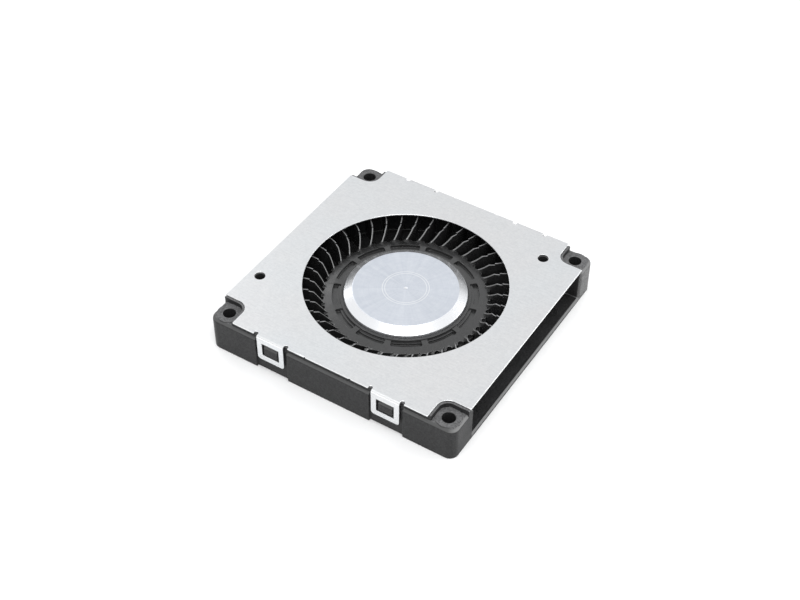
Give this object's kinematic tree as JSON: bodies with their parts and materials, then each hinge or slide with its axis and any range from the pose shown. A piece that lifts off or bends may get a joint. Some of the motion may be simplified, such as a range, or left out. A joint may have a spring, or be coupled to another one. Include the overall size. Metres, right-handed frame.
{
  "type": "dc blower fan",
  "caption": "Flat square centrifugal blower: black moulded volute casing with a clipped-on sheet metal cover, round top inlet, full-width side outlet and a bladed rotor on two ball bearings.",
  "frame": {"origin": "middle of the casing's flat underside", "axes": "+Z out of the inlet along the rotor axis, +X out of the outlet, clip sides facing -Y and +Y"},
  "size_m": [0.0922, 0.0926, 0.015],
  "materials": {
    "casing_plastic": "glass-filled black, satin",
    "cover_sheet": "plated sheet, fine grain",
    "cap_plastic": "matt black",
    "brass": "turned",
    "impeller_plastic": "satin black",
    "cup_metal": "turned, bright bevel",
    "ferrite": "bonded magnet",
    "shaft_steel": "ground",
    "clip_steel": "spring steel",
    "lamination": "punched sheet",
    "insulator_plastic": "natural nylon",
    "copper_wire": "enamelled winding",
    "board": "solder mask",
    "chip_epoxy": "moulded",
    "ceramic": "fired",
    "tin": "tinned",
    "bearing_steel": "ground",
    "cage_plastic": "moulded",
    "shield_steel": "pressed"
  },
  "bodies": {
    "casing": {"base_housing": "casing_plastic", "top_cover": "cover_sheet", "bearing_cap": "cap_plastic", "bearing_tube": "brass", "lower_bearing_outer_ring": "bearing_steel", "upper_bearing_outer_ring": "bearing_steel", "lower_bearing_shields": "shield_steel", "upper_bearing_shields": "shield_steel", "stator_core": "lamination", "upper_insulator": "insulator_plastic", "lower_insulator": "insulator_plastic", "coils": "copper_wire", "circuit_board": "board", "hall_sensor": "chip_epoxy", "driver_chip": "chip_epoxy", "capacitors": "ceramic", "resistors": "chip_epoxy", "terminal_pins": "tin"},
    "rotor": {"impeller": "impeller_plastic", "rotor_cup": "cup_metal", "rotor_magnet": "ferrite", "rotor_boss": "brass", "shaft": "shaft_steel", "retaining_ring": "clip_steel", "preload_spring": "clip_steel", "lower_bearing_inner_ring": "bearing_steel", "upper_bearing_inner_ring": "bearing_steel"},
    "lower_ball_train": {"lower_bearing_balls": "bearing_steel", "lower_bearing_cage": "cage_plastic"},
    "upper_ball_train": {"upper_bearing_balls": "bearing_steel", "upper_bearing_cage": "cage_plastic"}
  },
  "joints": [
    {"name": "rotor_spin", "type": "hinge", "parent": "casing", "child": "rotor", "pos_m": [0, 0, 0.0075], "axis": [0, 0, 1], "continuous": true},
    {"name": "lower_train_spin", "type": "hinge", "parent": "casing", "child": "lower_ball_train", "pos_m": [0, 0, 0.0041], "axis": [0, 0, 1], "continuous": true},
    {"name": "upper_train_spin", "type": "hinge", "parent": "casing", "child": "upper_ball_train", "pos_m": [0, 0, 0.0084], "axis": [0, 0, 1], "continuous": true}
  ],
  "couplings": [
    {"joint": "lower_train_spin", "follows": "rotor_spin", "ratio": 0.3909},
    {"joint": "upper_train_spin", "follows": "rotor_spin", "ratio": 0.3909}
  ]
}
